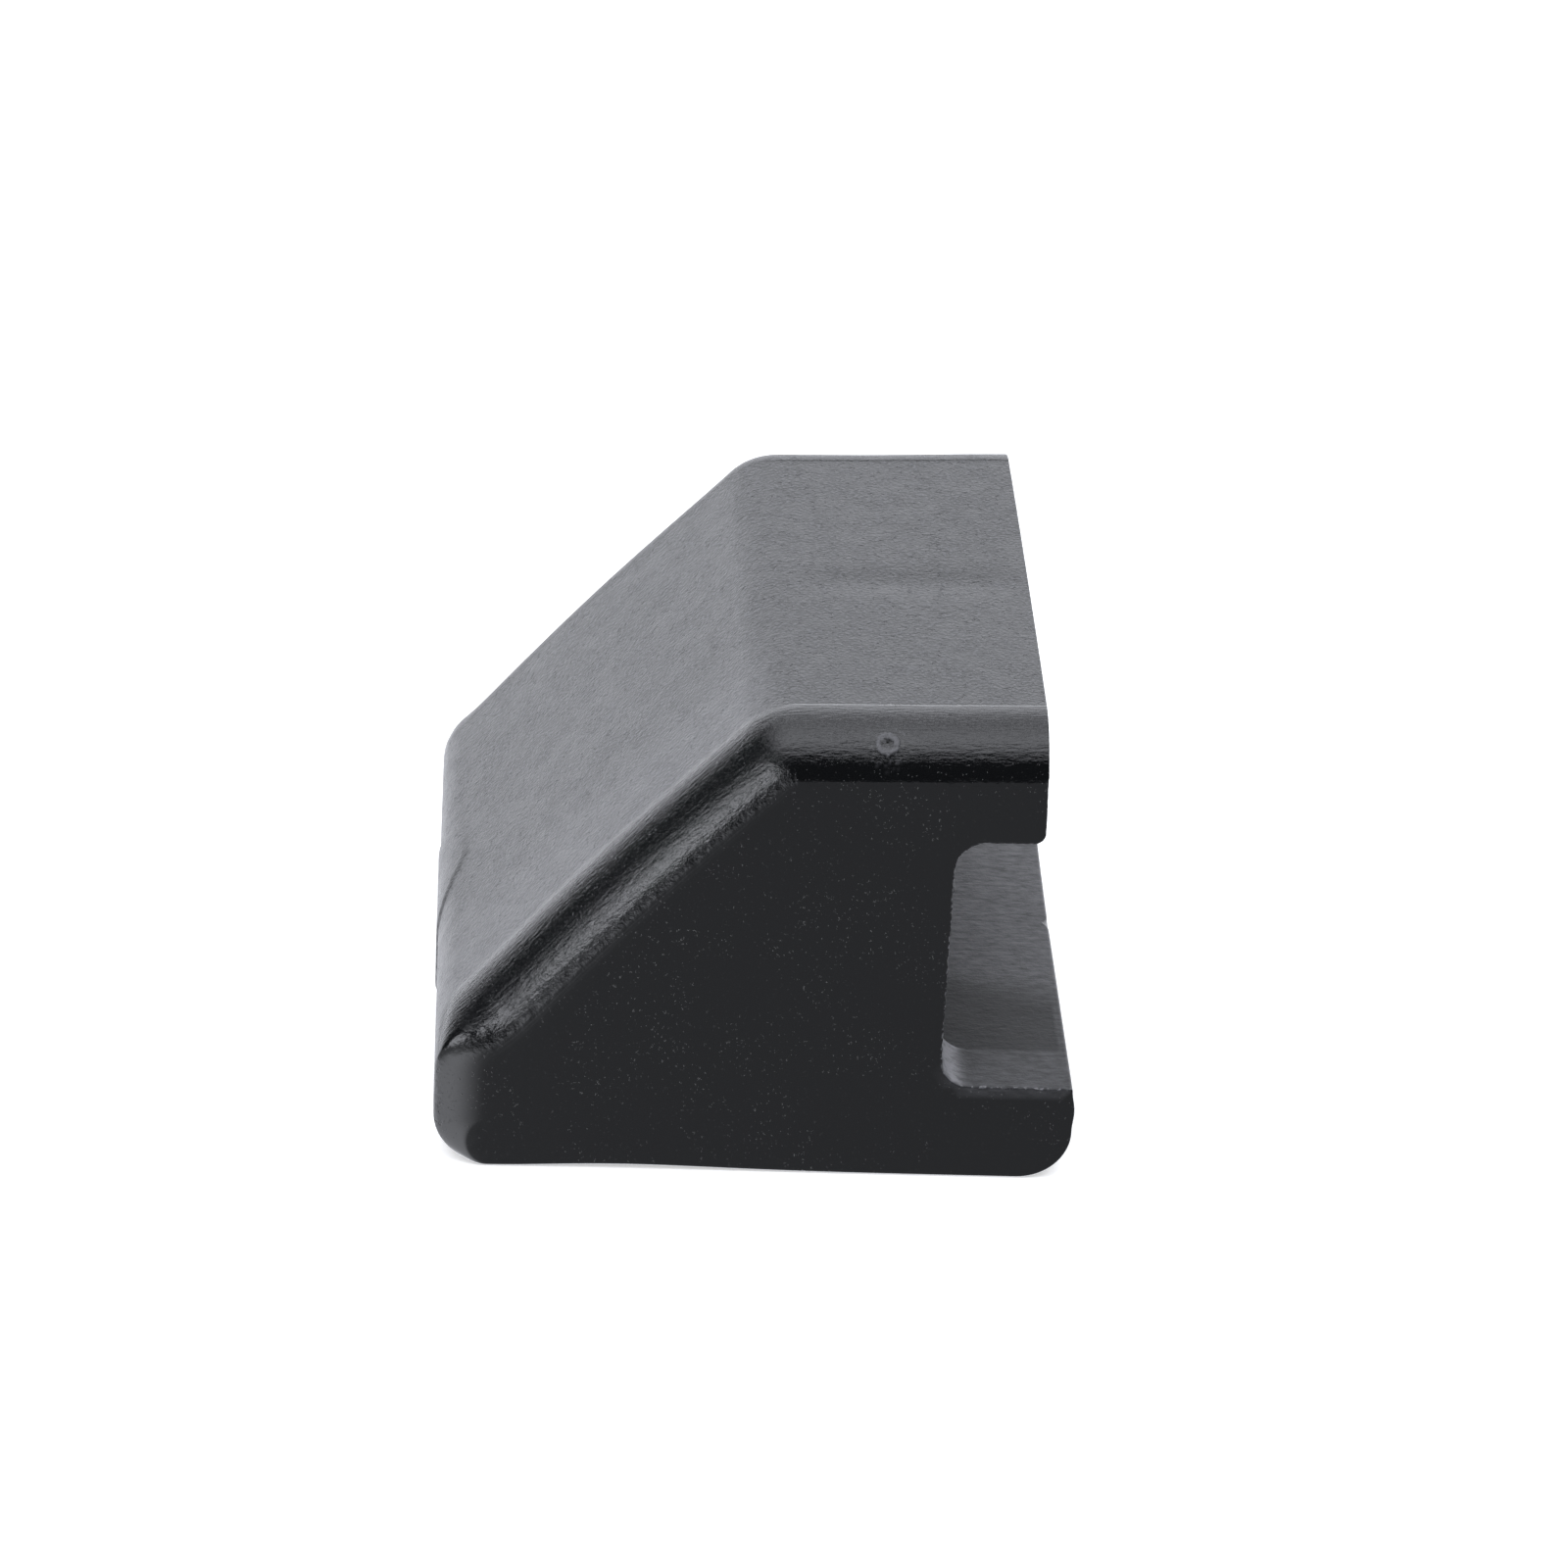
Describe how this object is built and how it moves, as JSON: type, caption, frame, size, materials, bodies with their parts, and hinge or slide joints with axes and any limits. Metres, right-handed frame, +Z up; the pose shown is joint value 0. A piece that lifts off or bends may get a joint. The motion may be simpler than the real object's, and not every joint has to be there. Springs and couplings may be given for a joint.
{
  "type": "cleat horn",
  "caption": "Thick wedge-shaped moulded horn with a C-shaped channel that hooks onto the edge of a flat bar, with threaded inserts in the channel's wall.",
  "frame": {"origin": "middle of the horn's box in X and Y, on the flat base", "axes": "+X out of the channel's mouth, +Y along the channel from the front end face to the rear one, +Z up from the base to the top flat"},
  "size_m": [0.06, 0.064, 0.0472],
  "materials": {
    "horn_plastic": "black moulded plastic, fine-grained on the top and slope, smoother and satin on the end faces",
    "insert_brass": "turned brass, dull"
  },
  "bodies": {
    "root": {"horn_body": "horn_plastic", "front_insert": "insert_brass", "rear_insert": "insert_brass"}
  },
  "joints": []
}
